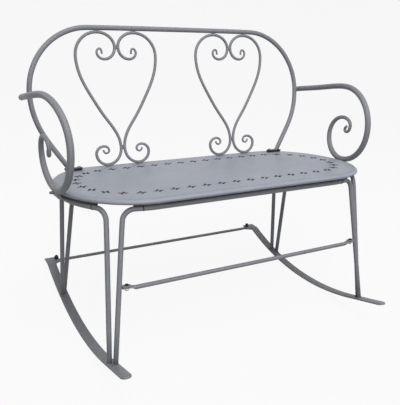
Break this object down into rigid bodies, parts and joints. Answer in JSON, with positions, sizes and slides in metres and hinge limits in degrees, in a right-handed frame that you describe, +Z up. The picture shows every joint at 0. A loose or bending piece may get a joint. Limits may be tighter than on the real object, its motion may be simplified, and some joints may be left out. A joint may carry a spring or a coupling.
{
  "type": "rocking garden bench",
  "caption": "Metal garden bench that rocks on bowed runners, with a pierced oval seat, tube legs, scrolled arms and heart scrolls inside a hooped back.",
  "frame": {"origin": "on the floor, under the middle of the bench's box", "axes": "+X to the right of someone who faces the bench, +Y to its back, +Z up"},
  "size_m": [1.0794, 0.7804, 0.8767],
  "materials": {
    "grey_paint": "satin grey paint",
    "black_steel": "blackened",
    "black_rubber": "matte",
    "zinc_steel": "zinc plated"
  },
  "bodies": {
    "root": {"backrest_hoop": "grey_paint", "front_left_leg_inner_tube": "grey_paint", "front_left_leg_side_tube": "grey_paint", "front_rail": "grey_paint", "front_right_leg_inner_tube": "grey_paint", "front_right_leg_side_tube": "grey_paint", "front_stretcher": "grey_paint", "left_arm": "grey_paint", "left_arm_bracket": "grey_paint", "left_arm_bracket_stud": "grey_paint", "left_front_stretcher_bolt": "black_steel", "left_front_stretcher_nut": "zinc_steel", "left_heart_inner_scroll": "grey_paint", "left_heart_outer_scroll": "grey_paint", "left_hoop_foot_nut": "zinc_steel", "left_hoop_foot_pad": "black_rubber", "left_hoop_foot_plate": "grey_paint", "left_hoop_foot_screw": "grey_paint", "left_rear_stretcher_bolt": "zinc_steel", "left_rear_stretcher_dome_nut": "black_steel", "left_rocker": "grey_paint", "left_side_rail": "grey_paint", "left_stretcher_lug": "grey_paint", "rear_left_leg_inner_tube": "grey_paint", "rear_left_leg_side_tube": "grey_paint", "rear_rail": "grey_paint", "rear_right_leg_inner_tube": "grey_paint", "rear_right_leg_side_tube": "grey_paint", "rear_stretcher": "grey_paint", "right_arm": "grey_paint", "right_arm_bracket": "grey_paint", "right_arm_bracket_stud": "grey_paint", "right_front_stretcher_bolt": "black_steel", "right_front_stretcher_nut": "zinc_steel", "right_heart_inner_scroll": "grey_paint", "right_heart_outer_scroll": "grey_paint", "right_hoop_foot_nut": "zinc_steel", "right_hoop_foot_pad": "black_rubber", "right_hoop_foot_plate": "grey_paint", "right_hoop_foot_screw": "grey_paint", "right_rear_stretcher_bolt": "zinc_steel", "right_rear_stretcher_dome_nut": "black_steel", "right_rocker": "grey_paint", "right_side_rail": "grey_paint", "right_stretcher_lug": "grey_paint", "seat_panel": "grey_paint"}
  },
  "joints": []
}
